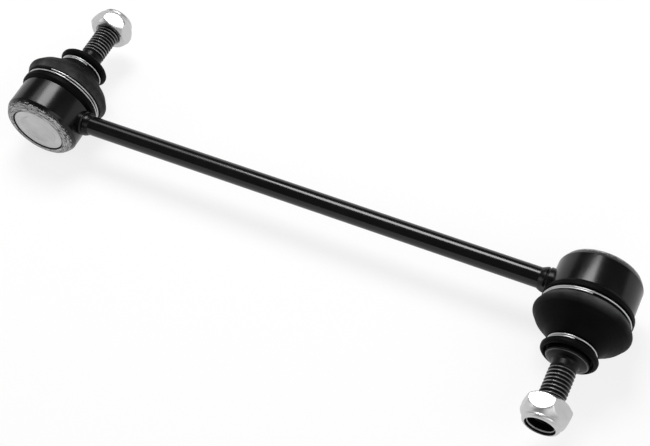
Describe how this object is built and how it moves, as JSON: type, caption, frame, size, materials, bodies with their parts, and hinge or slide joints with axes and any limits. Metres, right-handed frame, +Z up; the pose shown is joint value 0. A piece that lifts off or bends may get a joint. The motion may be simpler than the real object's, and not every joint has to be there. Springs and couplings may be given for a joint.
{
  "type": "stabilizer link",
  "caption": "Stabilizer link with a straight black rod, a sealed ball joint at each end, opposed threaded studs, black rubber boots and bright lock nuts.",
  "frame": {"origin": "midway between the two ball centres, which is the middle of the box around the part", "axes": "+X along the rod from end a to end b, +Y the way end a's stud points (end b's stud points to -Y), +Z up with the link lying on its boots"},
  "size_m": [0.2706, 0.1108, 0.0366],
  "materials": {
    "black_paint": "smooth satin-gloss black coating",
    "bare_steel": "bare turned steel, lightly scratched",
    "seat_plastic": "moulded off-white plastic, hidden",
    "black_stud": "dark phosphated steel with an oily sheen",
    "boot_rubber": "matt black moulded rubber",
    "ring_steel": "bright drawn spring wire",
    "nut_zinc": "bright zinc plating",
    "nylon": "black nylon"
  },
  "bodies": {
    "link": {"connecting_rod": "black_paint", "weld_collar_a": "black_paint", "weld_collar_b": "black_paint", "housing_a": "black_paint", "housing_b": "black_paint", "end_plate_a": "bare_steel", "end_plate_b": "bare_steel", "ball_seat_a": "seat_plastic", "ball_seat_b": "seat_plastic", "boot_base_ring_a": "ring_steel", "boot_base_ring_b": "ring_steel"},
    "boot_a": {"boot_a": "boot_rubber"},
    "boot_neck_a": {"boot_neck_ring_a": "ring_steel"},
    "stud_a": {"ball_stud_a": "black_stud"},
    "insert_a": {"nylon_insert_a": "nylon"},
    "nut_a": {"lock_nut_a": "nut_zinc"},
    "boot_b": {"boot_b": "boot_rubber"},
    "boot_neck_b": {"boot_neck_ring_b": "ring_steel"},
    "stud_b": {"ball_stud_b": "black_stud"},
    "insert_b": {"nylon_insert_b": "nylon"},
    "nut_b": {"lock_nut_b": "nut_zinc"}
  },
  "joints": [
    {"name": "lean_across_a", "type": "hinge", "parent": "link", "child": "boot_a", "pos_m": [-0.117, 0, 0], "axis": [1, 0, 0], "range_deg": [-18, 18], "deforming": ["boot_a"]},
    {"name": "lean_along_a", "type": "hinge", "parent": "boot_a", "child": "boot_neck_a", "pos_m": [-0.117, 0, 0], "axis": [0, 0, 1], "range_deg": [-18, 18], "deforming": ["boot_a"]},
    {"name": "stud_spin_a", "type": "hinge", "parent": "boot_neck_a", "child": "stud_a", "pos_m": [-0.117, 0, 0], "axis": [0, 1, 0], "continuous": true},
    {"name": "nut_travel_a", "type": "slide", "parent": "stud_a", "child": "insert_a", "axis": [0, 1, 0], "range_m": [-0.01355, 0.03005]},
    {"name": "nut_turn_a", "type": "hinge", "parent": "insert_a", "child": "nut_a", "pos_m": [-0.117, 0, 0], "axis": [0, 1, 0], "range_deg": [-3240, 7200]},
    {"name": "lean_across_b", "type": "hinge", "parent": "link", "child": "boot_b", "pos_m": [0.117, 0, 0], "axis": [1, 0, 0], "range_deg": [-18, 18], "deforming": ["boot_b"]},
    {"name": "lean_along_b", "type": "hinge", "parent": "boot_b", "child": "boot_neck_b", "pos_m": [0.117, 0, 0], "axis": [0, 0, 1], "range_deg": [-18, 18], "deforming": ["boot_b"]},
    {"name": "stud_spin_b", "type": "hinge", "parent": "boot_neck_b", "child": "stud_b", "pos_m": [0.117, 0, 0], "axis": [0, -1, 0], "continuous": true},
    {"name": "nut_travel_b", "type": "slide", "parent": "stud_b", "child": "insert_b", "axis": [0, -1, 0], "range_m": [-0.01355, 0.03005]},
    {"name": "nut_turn_b", "type": "hinge", "parent": "insert_b", "child": "nut_b", "pos_m": [0.117, 0, 0], "axis": [0, -1, 0], "range_deg": [-3240, 7200]}
  ],
  "couplings": [
    {"joint": "nut_travel_a", "follows": "nut_turn_a", "m_per_rad": 0.00023873},
    {"joint": "nut_travel_b", "follows": "nut_turn_b", "m_per_rad": 0.00023873}
  ]
}
